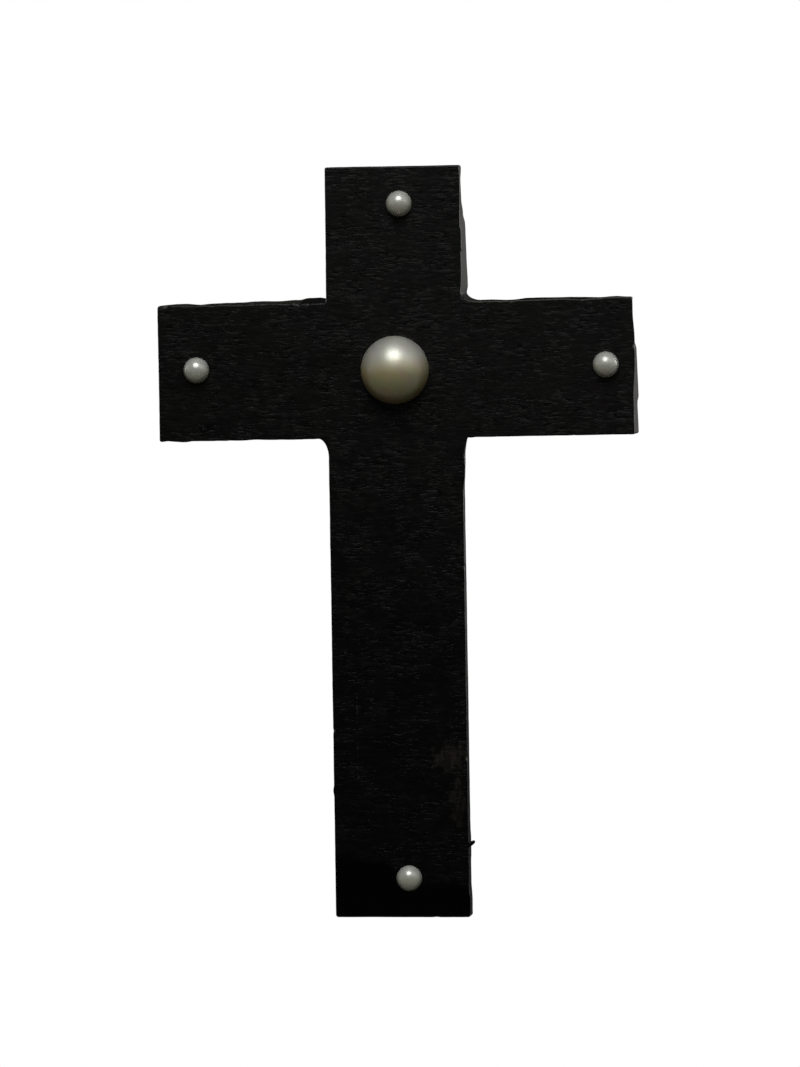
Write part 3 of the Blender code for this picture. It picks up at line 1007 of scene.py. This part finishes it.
def makeNacre(name, look):
    # brown at the foot of each pearl as painted shade, cream at its middle, white at its top as painted
    # light, with soft clouds
    material, tree, place = newMaterial(name)
    clouds, dimples = effect(tree, "clouds", place, look["sizes"])
    rise = attribute(tree, "rise")
    colour = blendColour(tree, clouds, look["grey"], look["cream"])
    # painted shade towards each pearl's foot
    colour = blendColour(tree, ramp(tree, rise, *look["shadeFrom"]), look["shade"], colour)
    # painted light towards each pearl's top
    colour = blendColour(tree, ramp(tree, rise, *look["paintedLightFrom"]), colour, look["white"])
    # faint pink and green hues: noise of its own in each channel, laid over the lacquer
    hues = noiseNode(tree, place, 1.0 / look["hueSize"])["Color"]
    colour = blendColour(tree, look["hues"], colour, hues, "OVERLAY")
    rough = ramp(tree, clouds, 0.0, 1.0, *look["rough"])
    finishMaterial(tree, colour, rough, dimples, dimpleDepth, look["shader"])
    return material


# The studio

studio = {
    "softKey": {"power": 5.6, "size": 0.75, "distance": 1.10, "azimuth": 0.0, "elevation": 51.0},
    "rightFill": {"power": 0.6, "size": 0.80, "distance": 1.10, "azimuth": 54.0, "elevation": 34.0},
    "leftBack": {"power": 9.0, "size": 1.10, "distance": 1.30, "azimuth": -126.0, "elevation": 12.0},
    "rightBack": {"power": 9.0, "size": 1.10, "distance": 1.30, "azimuth": 126.0, "elevation": 12.0},
    "frontGlow": 0.03, "backGlow": 0.006, "backFrom": (-0.1, 0.4),  # how bright the room is, front and back
    "wallGlow": 0.13, "wallFrom": (0.55, 0.90),                     # at its two side walls
    "rightGlow": 0.190, "rightFrom": (0.04, 0.12),                  # and at the back on the right
    "glowColour": (1.0, 0.97, 0.92, 1.0),
    "floorDrop": 0.32, "floorSize": 6.0, "floorTone": 0.20,         # metres, and how much light it gives back
}
white = (1.0, 1.0, 1.0, 1.0)
view = {
    "azimuth": 5.0, "elevation": 5.0, "roll": -1.006, "distance": 1000.0,   # degrees and mm
    "aim": (0.71, -12.7, -38.31), "pixelsPerMm": 4.2434, "photoHeight": 1067, "sensor": 36.0,
}


def direction(azimuth, elevation):
    a, e = math.radians(azimuth), math.radians(elevation)
    return Vector((math.sin(a) * math.cos(e), -math.cos(a) * math.cos(e), math.sin(e)))


def addCamera():
    back = direction(view["azimuth"], view["elevation"])
    azimuth = math.radians(view["azimuth"])
    level = Vector((math.cos(azimuth), math.sin(azimuth), 0.0))
    upright = back.cross(level)
    roll = math.radians(view["roll"])
    right = level * math.cos(roll) + upright * math.sin(roll)
    up = upright * math.cos(roll) - level * math.sin(roll)
    camera = bpy.data.objects.new("camera", bpy.data.cameras.new("camera"))
    camera.data.sensor_width = view["sensor"]
    camera.data.lens = view["pixelsPerMm"] * view["distance"] * view["sensor"] / view["photoHeight"]
    camera.data.clip_start, camera.data.clip_end = 0.05, 50.0
    stand = (Vector(view["aim"]) + back * view["distance"]) * mm
    camera.matrix_world = Matrix.Translation(stand) @ Matrix((right, up, back)).transposed().to_4x4()
    bpy.context.scene.collection.objects.link(camera)
    bpy.context.scene.camera = camera


def addLamp(name):
    look = studio[name]
    lamp = bpy.data.lights.new(name, "AREA")
    lamp.shape = "DISK"
    lamp.size = look["size"]
    lamp.energy = look["power"]
    stand = bpy.data.objects.new(name, lamp)
    away = direction(look["azimuth"], look["elevation"])
    stand.location = away * look["distance"]
    stand.rotation_mode = "QUATERNION"
    stand.rotation_quaternion = away.to_track_quat("Z", "Y")
    bpy.context.scene.collection.objects.link(stand)


def addWorld():
    # the camera sees white; other rays see a dim room with two pale side walls, brighter at its back right
    world = bpy.data.worlds.new("studio")
    bpy.context.scene.world = world
    world.use_nodes = True
    tree = world.node_tree
    tree.nodes.clear()
    ray = node(tree, "ShaderNodeTexCoord").outputs["Generated"]
    right, behind, _ = node(tree, "ShaderNodeSeparateXYZ", {0: ray}).outputs
    dim = ramp(tree, behind, *studio["backFrom"], studio["frontGlow"], studio["backGlow"])
    sideways = calc(tree, "ABSOLUTE", right)
    dim = calc(tree, "ADD", dim, ramp(tree, sideways, *studio["wallFrom"], 0.0, studio["wallGlow"]))
    wall = ramp(tree, right, *studio["rightFrom"], 0.0, studio["rightGlow"])
    room = calc(tree, "MULTIPLY_ADD", wall, ramp(tree, behind, *studio["backFrom"]), dim)
    seen = node(tree, "ShaderNodeLightPath").outputs["Is Camera Ray"]
    strength = node(tree, "ShaderNodeMix", {"Factor": seen, 2: room, 3: 1.0}, data_type="FLOAT").outputs[0]
    colour = blendColour(tree, seen, studio["glowColour"], white)
    sky = node(tree, "ShaderNodeBackground", {"Color": colour, "Strength": strength})
    shown = tree.nodes.new("ShaderNodeOutputWorld")
    tree.links.new(sky.outputs[0], shown.inputs["Surface"])


def addFloor():
    # matt and grey to the lamps' light, white to the camera
    mesh = bpy.data.meshes.new("floor")
    half, z = studio["floorSize"] / 2, (boardLow[2] * mm) - studio["floorDrop"]
    places = [(-half, -half, z), (half, -half, z), (half, half, z), (-half, half, z)]
    mesh.from_pydata(places, [], [(0, 1, 2, 3)])
    material = bpy.data.materials.new("paleFloor")
    material.use_nodes = True
    tree = material.node_tree
    tree.nodes.clear()
    tone = studio["floorTone"]
    matt = node(tree, "ShaderNodeBsdfDiffuse", {"Color": (tone, tone, tone, 1.0)})
    bright = node(tree, "ShaderNodeEmission", {"Color": white, "Strength": 1.0})
    seen = node(tree, "ShaderNodeLightPath").outputs["Is Camera Ray"]
    mixed = node(tree, "ShaderNodeMixShader", {0: seen, 1: matt.outputs[0], 2: bright.outputs[0]})
    shown = tree.nodes.new("ShaderNodeOutputMaterial")
    tree.links.new(mixed.outputs[0], shown.inputs["Surface"])
    mesh.materials.append(material)
    floor = bpy.data.objects.new("floor", mesh)
    bpy.context.scene.collection.objects.link(floor)


addCamera()
boardPiece = buildBoard()
boardPiece.data.materials.append(makePaint())
large, small = makeNacre("pearlLarge", nacre["large"]), makeNacre("pearlSmall", nacre["small"])
for name, pearl in pearls.items():
    buildPearl(name, pearl).data.materials.append(large if name == "centrePearl" else small)
print("pieces dressed")
for name in ("softKey", "rightFill", "leftBack", "rightBack"):
    addLamp(name)
addWorld()
addFloor()
bpy.context.scene.view_settings.view_transform = "Standard"
print("studio set")
